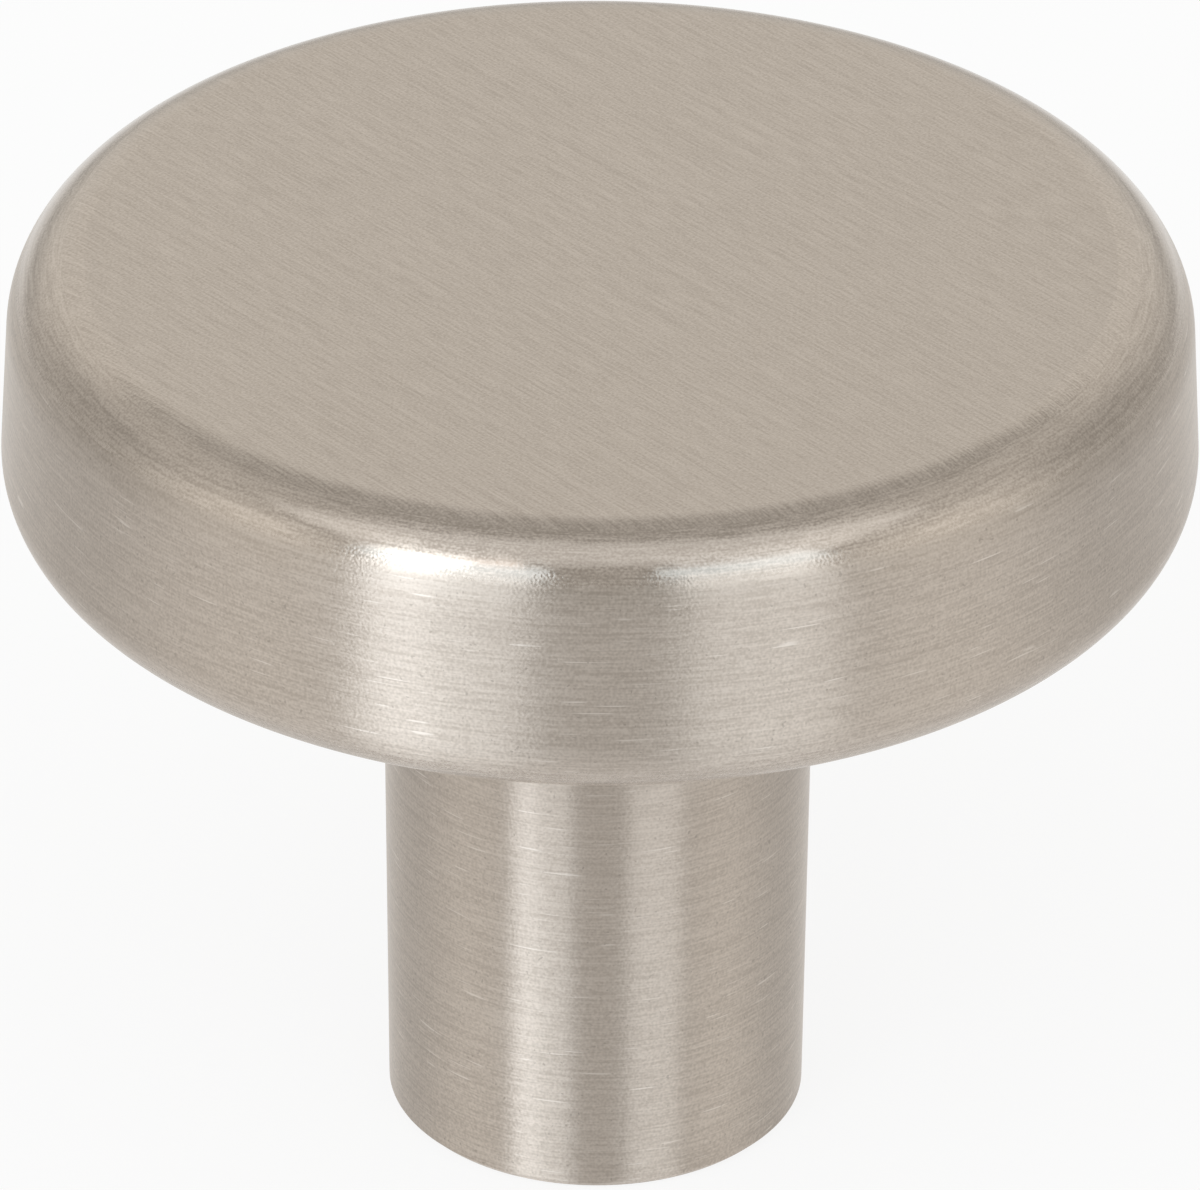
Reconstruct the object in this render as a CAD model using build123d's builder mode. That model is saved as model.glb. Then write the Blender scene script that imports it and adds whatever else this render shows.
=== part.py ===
"""Round cabinet knob, cast in one piece: a flat disc head on a plain straight post.

The origin is the centre of the mounting face at the foot of the post. +Z runs out along the post
to the flat front of the head. Lengths are in millimetres and angles in degrees.
"""

import os
from math import cos, radians, sin, tan

from build123d import *

# Head
head_diameter = 32.0        # at its widest, just in front of the rear edge
head_thickness = 7.5
wall_draft = 3.3            # the wall leans in towards the front, to leave its die
front_edge_radius = 2.1
rear_edge_radius = 1.9

# Post
projection = 26.0           # from the mounting face to the front of the head
post_diameter = 11.7        # where it meets the head
post_draft = 0.5            # the post narrows towards its foot
root_radius = 0.5           # inside corner between the post and the head
foot_edge_break = 0.2

# Screw hole, drilled and countersunk for a coarse 4.2 mm machine thread
tap_diameter = 3.454
tap_depth = 13.0            # full diameter, from the mounting face
drill_point_angle = 118.0
mouth_diameter = 4.8
mouth_angle = 90.0

# Corners of the half section. An edge round of radius r brings the widest point of a drafted wall
# inside the sharp corner by r * ((1 + sin) / cos - 1), so the sharp corner stands out by as much.
underside = projection - head_thickness
lean = radians(wall_draft)
rear_corner = head_diameter / 2 + rear_edge_radius * ((1 + sin(lean)) / cos(lean) - 1)
front_corner = rear_corner - head_thickness * tan(lean)
post_top = post_diameter / 2
post_foot = post_top - underside * tan(radians(post_draft))

# Corners of the screw hole's half section
tap_radius = tap_diameter / 2
mouth_radius = mouth_diameter / 2
mouth_depth = (mouth_radius - tap_radius) / tan(radians(mouth_angle / 2))
drill_point = tap_radius / tan(radians(drill_point_angle / 2))


def rims():
    """Round edges of the knob in groups, from the foot of the post to the front of the head."""
    return knob.edges().filter_by(GeomType.CIRCLE).group_by(Axis.Z)


with BuildPart() as knob:
    # Post and head turned from one half section, with sharp corners
    with BuildSketch(Plane.XZ):
        with BuildLine():
            Polyline(
                (0, 0),
                (post_foot, 0),
                (post_top, underside),
                (rear_corner, underside),
                (front_corner, projection),
                (0, projection),
                close=True,
            )
        make_face()
    revolve(axis=Axis.Z)

    # Soft front edge, softened rear edge, cast inside corner and a barely broken foot edge
    fillet(rims()[-1], front_edge_radius)
    fillet(rims()[1].sort_by(SortBy.RADIUS)[-1], rear_edge_radius)
    fillet(rims()[1].sort_by(SortBy.RADIUS)[0], root_radius)
    chamfer(rims()[0], foot_edge_break)

    # Blind screw hole up the post: countersunk mouth, straight wall and the drill's point
    with BuildSketch(Plane.XZ):
        with BuildLine():
            Polyline(
                (0, 0),
                (mouth_radius, 0),
                (tap_radius, mouth_depth),
                (tap_radius, tap_depth),
                (0, tap_depth + drill_point),
                close=True,
            )
        make_face()
    revolve(axis=Axis.Z, mode=Mode.SUBTRACT)

os.makedirs("parts", exist_ok=True)
knob.part.label = "knob"
export_step(knob.part, "parts/knob.step")
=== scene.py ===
from math import cos, pi, radians, sin, tan

import bpy
import numpy as np
from mathutils import Matrix, Vector


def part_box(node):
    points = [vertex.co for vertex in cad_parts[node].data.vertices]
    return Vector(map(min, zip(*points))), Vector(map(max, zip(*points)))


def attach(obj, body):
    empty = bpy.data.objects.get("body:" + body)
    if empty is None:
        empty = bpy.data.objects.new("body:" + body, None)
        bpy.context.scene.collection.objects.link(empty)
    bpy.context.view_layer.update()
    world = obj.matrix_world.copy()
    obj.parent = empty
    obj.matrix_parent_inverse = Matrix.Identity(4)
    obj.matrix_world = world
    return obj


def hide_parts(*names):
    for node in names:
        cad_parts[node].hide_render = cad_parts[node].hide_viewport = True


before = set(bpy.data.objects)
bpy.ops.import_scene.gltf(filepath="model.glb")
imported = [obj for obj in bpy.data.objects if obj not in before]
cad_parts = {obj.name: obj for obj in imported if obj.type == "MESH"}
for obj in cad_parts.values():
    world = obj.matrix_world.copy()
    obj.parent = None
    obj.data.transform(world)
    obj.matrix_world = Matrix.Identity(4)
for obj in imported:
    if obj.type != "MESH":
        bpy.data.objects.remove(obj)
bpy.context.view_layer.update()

# Knob, form
# The real knob is one zinc casting: a flat disc head on a plain post, with every edge rounded in
# the die or on the polishing wheel, and a blind hole tapped up the post for the fixing screw.
# Its mesh is the half section carried round the axis, with the screw thread cut into the hole.

# Lengths in mm and angles in radians
MM = 0.001
knob_low, knob_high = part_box("knob")
head_width = (knob_high.x - knob_low.x) / MM
projection = knob_high.z / MM
head_thickness = 7.5
wall_draft = radians(3.3)
front_edge_radius = 2.1
rear_edge_radius = 1.9
post_width = 11.7
post_draft = radians(0.5)
root_radius = 0.5
foot_edge_break = 0.2
tap_radius = 3.454 / 2
tap_depth = 13.0
drill_point_angle = radians(118)
mouth_radius = 4.8 / 2
thread_radius = 4.166 / 2
thread_pitch = 25.4 / 32
thread_crest, thread_flank = 0.25, 0.52     # shares of half a pitch
thread_length = 11.5
thread_runout = 1.2
columns = 256
flat_margin = 0.05      # a row of the mesh this close to the front round keeps the front flat
crease_angle = radians(30)


def line(start, end, rows):
    """Points on a straight stretch of the section, from start to end."""
    return np.linspace(start, end, rows)


def rounded(before, corner, after, radius, rows):
    """Arc of the given radius that touches both sides of a corner: its centre lies on the line
    that halves the corner, radius / sin(half the angle) away from it."""
    before, corner, after = (np.asarray(p, float) for p in (before, corner, after))
    one = (before - corner) / np.linalg.norm(before - corner)
    two = (after - corner) / np.linalg.norm(after - corner)
    half = np.arccos(one @ two) / 2
    centre = corner + (one + two) / np.linalg.norm(one + two) * radius / np.sin(half)
    first, last = (corner + side * radius / np.tan(half) - centre for side in (one, two))
    start, end = np.arctan2(first[1], first[0]), np.arctan2(last[1], last[0])
    turn = start + ((end - start + pi) % (2 * pi) - pi) * np.linspace(0, 1, rows)
    return centre + radius * np.stack([np.cos(turn), np.sin(turn)], 1)


def threaded(height, angle):
    """Wall radius of the tapped hole: the larger of the countersunk mouth, a 45 degree cone, and a
    60 degree thread, a wave of height and angle with flat crests that fades out at its inner end."""
    mouth = mouth_radius - height
    turn = (height / thread_pitch - angle / (2 * pi)) % 1
    flank = np.clip((np.abs(2 * turn - 1) - thread_crest) / thread_flank, 0, 1)
    fade = np.clip((thread_length - height) / thread_runout, 0, 1)
    return np.maximum(mouth, tap_radius + (thread_radius - tap_radius) * flank * fade)


underside = projection - head_thickness
rear_corner = head_width / 2 + rear_edge_radius * ((1 + sin(wall_draft)) / cos(wall_draft) - 1)
front_corner = rear_corner - head_thickness * tan(wall_draft)
post_foot = post_width / 2 - underside * tan(post_draft)
section_corners = [
    (0, projection),
    (front_corner, projection),
    (rear_corner, underside),
    (post_width / 2, underside),
    (post_foot, 0),
]
front_edge = rounded(*section_corners[0:3], front_edge_radius, 33)
rear_edge = rounded(*section_corners[1:4], rear_edge_radius, 29)
root = rounded(*section_corners[2:5], root_radius, 11)
foot_edge = (post_foot, foot_edge_break)
foot_inner = (post_foot - foot_edge_break, 0)
tip = tap_depth + tap_radius / tan(drill_point_angle / 2)

# Stretches of the half section in order, from the middle of the front to the hole's drill point
stretches = {
    "front": np.vstack([line((0, projection), front_edge[0] - (flat_margin, 0), 8), front_edge[:1]]),
    "front_edge": front_edge,
    "wall": line(front_edge[-1], rear_edge[0], 9),
    "rear_edge": rear_edge,
    "underside": line(rear_edge[-1], root[0], 7),
    "root": root,
    "post": line(root[-1], foot_edge, 17),
    "foot": line(foot_edge, foot_inner, 2),
    "foot_face": line(foot_inner, (mouth_radius, 0), 5),
    "hole": line((mouth_radius, 0), (tap_radius, tap_depth), 210),
    "point": line((tap_radius, tap_depth), (0, tip), 5),
}
section = np.vstack([stretches["front"][:1]] + [points[1:] for points in stretches.values()])
band = np.repeat(list(stretches), [len(points) - 1 for points in stretches.values()])

angle = 2 * pi * np.arange(columns) / columns
radius = np.repeat(section[:, :1], columns, 1)
height = np.repeat(section[:, 1:], columns, 1)
in_hole = np.append(band == "hole", False) & np.append(False, band == "hole")
radius[in_hole] = threaded(height[in_hole], angle)
surface = np.stack([radius * np.cos(angle), radius * np.sin(angle), height], 2)

# Faces as rows and columns of the grid: a fan at each pole, and four-cornered faces between
rows = len(section)
row, column = np.mgrid[1 : rows - 2, 0:columns].reshape(2, -1)
around = np.arange(columns)
first, last = np.zeros_like(around), np.full_like(around, rows - 1)
fans_and_faces = [
    [(first, around), (first + 1, around), (first + 1, around + 1)],
    [(row, column), (row + 1, column), (row + 1, column + 1), (row, column + 1)],
    [(last - 1, around), (last, around), (last - 1, around + 1)],
]
vertex_of = np.zeros((rows, columns), int)
vertex_of[1:-1] = 1 + np.arange((rows - 2) * columns).reshape(-1, columns)
vertex_of[-1] = 1 + (rows - 2) * columns
vertices = np.vstack([surface[:1, 0], surface[1:-1].reshape(-1, 3), surface[-1:, 0]])

# For each corner of each face: its own row and column, and the first row and column of its face
faces = []
corner_row, corner_column, corner_top, corner_start = [], [], [], []
for corners in fans_and_faces:
    corner_rows, corner_columns = np.stack(corners, 2)
    faces += vertex_of[corner_rows, corner_columns % columns].tolist()
    corner_row.append(corner_rows.ravel())
    corner_column.append(corner_columns.ravel())
    corner_top.append(np.repeat(corner_rows.min(1), len(corners)))
    corner_start.append(np.repeat(corner_columns.min(1), len(corners)))
corner_row, corner_column = np.concatenate(corner_row), np.concatenate(corner_column)
corner_top, corner_start = np.concatenate(corner_top), np.concatenate(corner_start)
corner_band = band[corner_top]

mesh = bpy.data.meshes.new("knob_casting")
mesh.from_pydata(vertices * MM, [], faces)
mesh.shade_smooth()
mesh.set_sharp_from_angle(angle=crease_angle)

# Brush lines: straight across the flat front and the first rows of its round, as far as the belt
# gives, and round the axis everywhere else. The attribute holds places in mm whose third number
# runs across the lines.
belt_rows = 6
brush_direction = radians(-48)
along = np.array([cos(brush_direction), sin(brush_direction)])
across = np.array([-along[1], along[0]])
place = surface[corner_row, corner_column % columns]
step = np.linalg.norm(np.diff(section, axis=0), axis=1)
arc = np.append(0, np.cumsum(step))[corner_row]
belted = corner_top < np.flatnonzero(band == "front_edge")[0] + belt_rows
brush = np.stack([place[:, 0], place[:, 1], arc], 1)
brush[belted] = np.stack([place[:, :2] @ along, 0 * arc, place[:, :2] @ across], 1)[belted]
mesh.attributes.new("brush", "FLOAT_VECTOR", "CORNER").data.foreach_set("vector", brush.ravel())

# Flat pattern of the surface, in mm on a square sheet: the front as it is, and each band of the
# section unrolled in equal pieces. Each has its bands, pieces, scale, first place and step.
sheet = 62.5
front_centre = (41.0, 14.9)
unrolled = {
    "rim": (["front_edge", "wall", "rear_edge"], 4, 1.0, (0.8, 0.8), (0, 10.6)),
    "post": (["root", "post", "foot"], 2, 1.0, (0.8, 43.4), (19.3, 0)),
    "underside": (["underside"], 4, 0.6, (40.6, 30.0), (0, 5.3)),
    "foot_face": (["foot_face"], 2, 0.7, (40.6, 52.0), (0, 3.2)),
    "hole": (["hole"], 1, 0.8, (27.6, 30.0), (0, 0)),
    "point": (["point"], 1, 0.8, (40.6, 59.0), (0, 0)),
}
flat = np.stack([place[:, :2] @ along, place[:, :2] @ across], 1) + front_centre
corner_angle = 2 * pi * corner_column / columns
for bands, pieces, scale, origin, stride in unrolled.values():
    here = np.isin(corner_band, bands)
    piece = corner_start[here] * pieces // columns
    widest = max(stretches[name][:, 0].max() for name in bands)
    run = widest * (corner_angle[here] - 2 * pi * piece / pieces)
    rise = arc[here].max() - arc[here]
    flat[here] = np.stack([run, rise], 1) * scale + origin + np.outer(piece, stride)
flat_pattern = mesh.uv_layers.new(name="OFBake")
flat_pattern.uv.foreach_set("vector", (flat / sheet).ravel())

# Polish: the belt leaves the flat front finer than the brushed wall and post, and the wheel leaves
# the front round finest. For each stretch of the section that has any: shares of its length, and
# the polish there, with 0 for brushed and 1 for the finest.
front_polish = 0.85
polished = {
    "front": ((0, 1), (front_polish, front_polish)),
    "front_edge": ((0, 0.20, 0.40, 0.58, 0.74), (front_polish, front_polish, 1, 1, 0)),
    "rear_edge": ((0.1, 0.4, 0.7, 1), (0, 0.5, 0.5, 0)),
}
polish_of_row = np.zeros(rows)
for name, (shares, amounts) in polished.items():
    on_stretch = np.append(band == name, False) | np.append(False, band == name)
    polish_of_row[on_stretch] = np.interp(np.linspace(0, 1, on_stretch.sum()), shares, amounts)
polish = np.concatenate(
    [polish_of_row[:1], np.repeat(polish_of_row[1:-1], columns), polish_of_row[-1:]]
)
mesh.attributes.new("polish", "FLOAT", "POINT").data.foreach_set("value", polish)

knob = bpy.data.objects.new("knob_body", mesh)
bpy.context.scene.collection.objects.link(knob)


# Knob, finish
# Satin nickel plate over brushed zinc, under a thin clear coat. The brush leaves fine lines that
# spread a reflection across them and keep it sharp along them, so lamps smear into soft bands down
# the wall and the post. The coat keeps the outline of the knob bright.


def linear(hex_colour):
    """The linear colour, with alpha 1, of an sRGB hex value."""
    code = np.array([int(hex_colour[i : i + 2], 16) for i in (1, 3, 5)]) / 255
    light = np.where(code <= 0.04045, code / 12.92, ((code + 0.055) / 1.055) ** 2.4)
    return (*light.tolist(), 1.0)


def add(tree, kind, inputs=(), **settings):
    """Adds a node of this kind to a tree, with its own settings, and gives each listed input, by
    name or number, either a value or a link from another node's output."""
    node = tree.nodes.new(kind)
    for name, value in settings.items():
        setattr(node, name, value)
    for key, value in dict(inputs).items():
        if isinstance(value, bpy.types.NodeSocket):
            tree.links.new(value, node.inputs[key])
        else:
            node.inputs[key].default_value = value
    return node


satin_nickel = bpy.data.materials.new("brushed_satin_nickel")
satin_nickel.use_nodes = True
tree = satin_nickel.node_tree
tree.nodes.clear()

lines = add(tree, "ShaderNodeAttribute", attribute_name="brush").outputs["Vector"]
smooth = add(tree, "ShaderNodeAttribute", attribute_name="polish").outputs["Fac"]


def marks(length, width, detail):
    """Noise whose marks have this mean length along the brush lines and width across them, in mm.
    Equal numbers give specks. Detail is how many finer noises are laid over it."""
    drawn = add(
        tree, "ShaderNodeMapping", {"Vector": lines, "Scale": (1 / length, 1 / length, 1 / width)}
    )
    noise = add(
        tree,
        "ShaderNodeTexNoise",
        {"Vector": drawn.outputs[0], "Scale": 1.0, "Detail": detail, "Roughness": 0.6},
    )
    return noise.outputs["Fac"]


# Grain: short and long brush lines, and the tooth of the plate between them. All are drawn a few
# times wider than real ones, so that they show at the size of the picture.
short_lines = marks(length=0.9, width=0.055, detail=0.0)
long_lines = marks(length=6.0, width=0.10, detail=1.0)
tooth = marks(length=0.075, width=0.075, detail=0.0)
long_share = 0.5
round_polish = 0.86             # just past the flat front's polish, so found on the front round alone
tooth_shares = (0.4, 0.45)      # of the grain: over most of the knob, and on the front round
grain_low, grain_high = 0.36, 0.64
lines_mixed = add(
    tree, "ShaderNodeMix", {0: long_share, 2: short_lines, 3: long_lines}, data_type="FLOAT"
)
tooth_share = add(
    tree,
    "ShaderNodeMapRange",
    {0: smooth, 1: round_polish, 2: 1.0, 3: tooth_shares[0], 4: tooth_shares[1]},
)
grain = add(
    tree,
    "ShaderNodeMix",
    {0: tooth_share.outputs[0], 2: lines_mixed.outputs[0], 3: tooth},
    data_type="FLOAT",
).outputs[0]
worn = add(
    tree, "ShaderNodeMapRange", {0: grain, 1: grain_low, 2: grain_high, 3: 0.0, 4: 1.0}
).outputs[0]
shade = add(
    tree,
    "ShaderNodeMix",
    {0: worn, 6: linear("#B5AA9F"), 7: linear("#D2C7BC")},
    data_type="RGBA",
).outputs[2]

# Few and far between on the brushed faces: bright scratches a little longer than the short lines,
# and dark pits. For each: length and width in mm, the noise where it begins and where it is full,
# how much of its colour shows there, and that colour
flaws = {
    "bright_scratches": (1.3, 0.07, 0.755, 0.83, 0.7, "#E8DFD6"),
    "dark_pits": (0.10, 0.10, 0.755, 0.83, 0.6, "#9C9288"),
}
rough = add(tree, "ShaderNodeMath", {0: 1.0, 1: smooth}, operation="SUBTRACT").outputs[0]
for length, width, begins, full, most, colour in flaws.values():
    strength = add(
        tree,
        "ShaderNodeMapRange",
        {0: marks(length, width, detail=0.0), 1: begins, 2: full, 3: 0.0, 4: most},
    )
    flawed = add(tree, "ShaderNodeMath", {0: strength.outputs[0], 1: rough}, operation="MULTIPLY")
    shade = add(
        tree,
        "ShaderNodeMix",
        {0: flawed.outputs[0], 6: shade, 7: linear(colour)},
        data_type="RGBA",
    ).outputs[2]

# Polish lowers the roughness, and the bright grain is a little rougher than the dark
brushed_roughness, polished_roughness, grain_roughness = 0.345, 0.10, 0.07
finish = add(
    tree,
    "ShaderNodeMapRange",
    {0: smooth, 1: 0.0, 2: 1.0, 3: brushed_roughness, 4: polished_roughness},
)
roughness = add(
    tree,
    "ShaderNodeMath",
    {0: worn, 1: grain_roughness, 2: finish.outputs[0]},
    operation="MULTIPLY_ADD",
)

# The grain is also cut into the surface, and the wheel has nearly rubbed it out on the front round
grain_depth = 0.02 * MM
relief_strengths = (0.3, 0.06)      # over most of the knob, and on the front round
depth = add(
    tree,
    "ShaderNodeMapRange",
    {0: smooth, 1: round_polish, 2: 1.0, 3: relief_strengths[0], 4: relief_strengths[1]},
)
relief = add(
    tree,
    "ShaderNodeBump",
    {"Strength": depth.outputs[0], "Distance": grain_depth, "Height": grain},
)
direction = add(tree, "ShaderNodeTangent", direction_type="UV_MAP", uv_map="OFBake")
plate = add(
    tree,
    "ShaderNodeBsdfPrincipled",
    {
        "Base Color": shade,
        "Metallic": 1.0,
        "Roughness": roughness.outputs[0],
        "Anisotropic": 1.0,
        "Anisotropic Rotation": 0.25,
        "Coat Weight": 0.35,
        "Coat Roughness": 0.15,
        "Tangent": direction.outputs[0],
        "Normal": relief.outputs[0],
    },
)
add(tree, "ShaderNodeOutputMaterial", {"Surface": plate.outputs[0]})
mesh.materials.append(satin_nickel)

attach(knob, "root")
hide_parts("knob")


# Floor
# A sheet of white acrylic that the knob stands on. Its polish throws the softboxes back up at the
# metal, which carries their bands down the wall and the post. The camera sees its plain white body
# and the knob's shadow, without that polish.

floor_reach = 1.5
floor_gap = 0.02 * MM           # keeps the sheet and the foot of the knob out of one plane
floor_mesh = bpy.data.meshes.new("floor")
floor_mesh.from_pydata(
    [(x * floor_reach, y * floor_reach, -floor_gap) for x, y in ((-1, -1), (1, -1), (1, 1), (-1, 1))],
    [],
    [(0, 1, 2, 3)],
)
floor = bpy.data.objects.new("floor", floor_mesh)
bpy.context.scene.collection.objects.link(floor)
white_acrylic = bpy.data.materials.new("polished_white_acrylic")
white_acrylic.use_nodes = True
tree = white_acrylic.node_tree
tree.nodes.clear()

# Body: mostly a plain white to the camera and to reflections, and a white pigment to all other light
white_share = 0.85
white = linear("#FFFFFF")
seen = add(tree, "ShaderNodeLightPath").outputs
camera_or_glossy = add(
    tree, "ShaderNodeMath", {0: seen["Is Camera Ray"], 1: seen["Is Glossy Ray"]}, operation="MAXIMUM"
)
shown = add(
    tree,
    "ShaderNodeMath",
    {0: camera_or_glossy.outputs[0], 1: seen["Is Transmission Ray"]},
    operation="MAXIMUM",
)
whitened = add(tree, "ShaderNodeMath", {0: shown.outputs[0], 1: white_share}, operation="MULTIPLY")
pigment = add(tree, "ShaderNodeBsdfDiffuse", {"Color": linear("#FAFAFA")})
glow = add(tree, "ShaderNodeEmission", {"Color": white, "Strength": 1.0})
body = add(
    tree, "ShaderNodeMixShader", {0: whitened.outputs[0], 1: pigment.outputs[0], 2: glow.outputs[0]}
)

# Polish, for every ray but the camera's, and stronger than real acrylic's so that the bands show
polish_of_sheet = add(tree, "ShaderNodeBsdfGlossy", {"Color": white, "Roughness": 0.2})
mirror = add(tree, "ShaderNodeFresnel", {"IOR": 3.8})
unseen = add(tree, "ShaderNodeMath", {0: 1.0, 1: seen["Is Camera Ray"]}, operation="SUBTRACT")
gloss = add(tree, "ShaderNodeMath", {0: mirror.outputs[0], 1: unseen.outputs[0]}, operation="MULTIPLY")
sheet_face = add(
    tree,
    "ShaderNodeMixShader",
    {0: gloss.outputs[0], 1: body.outputs[0], 2: polish_of_sheet.outputs[0]},
)

# Seen from below, the sheet lets the camera through to the foot of the knob
rear = add(tree, "ShaderNodeNewGeometry").outputs["Backfacing"]
from_below = add(tree, "ShaderNodeMath", {0: rear, 1: seen["Is Camera Ray"]}, operation="MULTIPLY")
clear = add(tree, "ShaderNodeBsdfTransparent")
one_way = add(
    tree,
    "ShaderNodeMixShader",
    {0: from_below.outputs[0], 1: sheet_face.outputs[0], 2: clear.outputs[0]},
)
add(tree, "ShaderNodeOutputMaterial", {"Surface": one_way.outputs[0]})
floor_mesh.materials.append(white_acrylic)


# Light
# A tent of white cloth, brighter at its sides and back, with a tall softbox left and right of the
# camera and three level panels overhead. Each softbox is bright above and has a skirt below, and
# the left one is brighter over its bulb.


def towards(azimuth, elevation):
    """Direction from the knob: azimuth in degrees to the right of the camera's side, elevation up."""
    a, e = radians(azimuth), radians(elevation)
    return Vector((sin(a) * cos(e), -cos(a) * cos(e), sin(e)))


world = bpy.data.worlds.new("tent")
bpy.context.scene.world = world
world.use_nodes = True
tree = world.node_tree
tree.nodes.clear()
way = add(tree, "ShaderNodeTexCoord").outputs["Generated"]
axes = add(tree, "ShaderNodeSeparateXYZ", {0: way}).outputs
aside = add(tree, "ShaderNodeMath", {0: axes["X"]}, operation="ABSOLUTE").outputs[0]

# Soft parts of the cloth: what each is measured by, where it begins and where it is full
soft_parts = {
    "beside": (aside, 0.55, 0.85),
    "front": (axes["Y"], 0.35, -0.35),
    "low": (axes["Z"], 0.95, 0.50),
    "off_centre": (aside, 0.22, 0.50),
    "high": (axes["Z"], 0.50, 0.72),
    "behind": (axes["Y"], 0.35, 0.75),
    "below": (axes["Z"], 0.70, 0.58),
    "above": (axes["Z"], 0.00, 0.28),
    "central": (aside, 0.95, 0.30),
}
part = {
    name: add(
        tree,
        "ShaderNodeMapRange",
        {0: value, 1: begins, 2: full, 3: 0.0, 4: 1.0},
        interpolation_type="SMOOTHSTEP",
    ).outputs[0]
    for name, (value, begins, full) in soft_parts.items()
}

# Level of the whole cloth, and what is added where soft parts overlap: those parts, and the amount
cloth_level = 0.53
brighter = {
    "sides": (("beside", "front", "low"), 0.52),
    "upper_sides": (("off_centre", "high"), 0.15),
    "back": (("behind", "below", "above", "central"), 0.30),
}
lit = cloth_level
for names, amount in brighter.values():
    for name in names:
        amount = add(tree, "ShaderNodeMath", {0: amount, 1: part[name]}, operation="MULTIPLY").outputs[0]
    lit = add(tree, "ShaderNodeMath", {0: lit, 1: amount}, operation="ADD").outputs[0]
tent = add(tree, "ShaderNodeBackground", {"Color": linear("#FFFDF8"), "Strength": lit})
add(tree, "ShaderNodeOutputWorld", {"Surface": tent.outputs[0]})

head_centre = Vector((0, 0, (projection - head_thickness / 2) * MM))


def panel(name, place, facing, width, height, brightness, colour):
    """A flat lamp at a place, turned to face back along a direction. Its brightness is what a mirror
    would show of it, on top of the tent, with 1 for white."""
    lamp = bpy.data.lights.new(name, "AREA")
    lamp.shape = "RECTANGLE"
    lamp.size, lamp.size_y = width, height
    lamp.energy = brightness * pi * width * height
    lamp.color = linear(colour)[:3]
    thing = bpy.data.objects.new(name, lamp)
    thing.location = place
    thing.rotation_euler = facing.to_track_quat("Z", "Y").to_euler()
    thing.visible_camera = False
    bpy.context.scene.collection.objects.link(thing)
    return thing


# Upright panels: azimuth, half width and lowest and highest elevation in degrees as the head sees
# them, then brightness and colour. No two face the same way, because one would hide the other.
panel_distance = 0.55
standing = {
    "left_softbox": (-31, 20, 33, 52, 1.45, "#DDF0FF"),
    "left_skirt": (-29, 15.5, 0, 33, 1.35, "#F0F8FF"),
    "left_bulb": (-37, 8, 35, 52, 1.4, "#E4F4FF"),
    "left_bulb_skirt": (-36.5, 6, 0, 33, 1.15, "#ECF5FF"),
    "right_softbox": (31, 18.5, 37, 52, 1.0, "#D6EEFF"),
    "right_skirt": (30, 13.7, 0, 37, 1.12, "#F4FAFF"),
}
for name, (azimuth, half_width, low, high, brightness, colour) in standing.items():
    width = 2 * panel_distance * tan(radians(half_width))
    bottom, top = (panel_distance * tan(radians(elevation)) for elevation in (low, high))
    place = head_centre + towards(azimuth, 0) * panel_distance + Vector((0, 0, (bottom + top) / 2))
    panel(name, place, towards(azimuth, 0), width, top - bottom, brightness, colour)

# Level panels overhead: left, right, front and back edges in metres, then brightness and colour
overhead_height = 0.9
overhead = {
    "overhead_middle": (-0.65, 0.65, -0.50, 0.04, 0.46, "#F5FAFF"),
    "overhead_left": (-0.65, -0.20, -0.65, -0.32, 1.30, "#FFF8F6"),
    "overhead_right": (0.20, 0.65, -0.65, -0.32, 0.55, "#F4F8FF"),
}
for name, (left, right, front, back, brightness, colour) in overhead.items():
    place = Vector(((left + right) / 2, (front + back) / 2, overhead_height))
    panel(name, place, towards(0, 90), right - left, back - front, brightness, colour)


# Camera
# Long lens, looking down on the front of the knob as in the photograph.

camera_elevation = 31.32
camera_distance = 0.32013
aim = Vector((0.00003, 0, 0.01545))
camera_roll = radians(0.414)
camera = bpy.data.cameras.new("camera")
camera.sensor_fit = "HORIZONTAL"
camera.sensor_width = 36.0
camera.lens = 354.9
camera.clip_start, camera.clip_end = 0.01, 10.0
viewer = bpy.data.objects.new("camera", camera)
viewer.location = Vector((0, 0, projection * MM / 2)) + towards(0, camera_elevation) * camera_distance
looking = (aim - viewer.location).to_track_quat("-Z", "Y").to_matrix()
viewer.rotation_euler = (looking @ Matrix.Rotation(camera_roll, 3, "Z")).to_euler()
bpy.context.scene.collection.objects.link(viewer)
bpy.context.scene.camera = viewer
bpy.context.scene.view_settings.view_transform = "Standard"
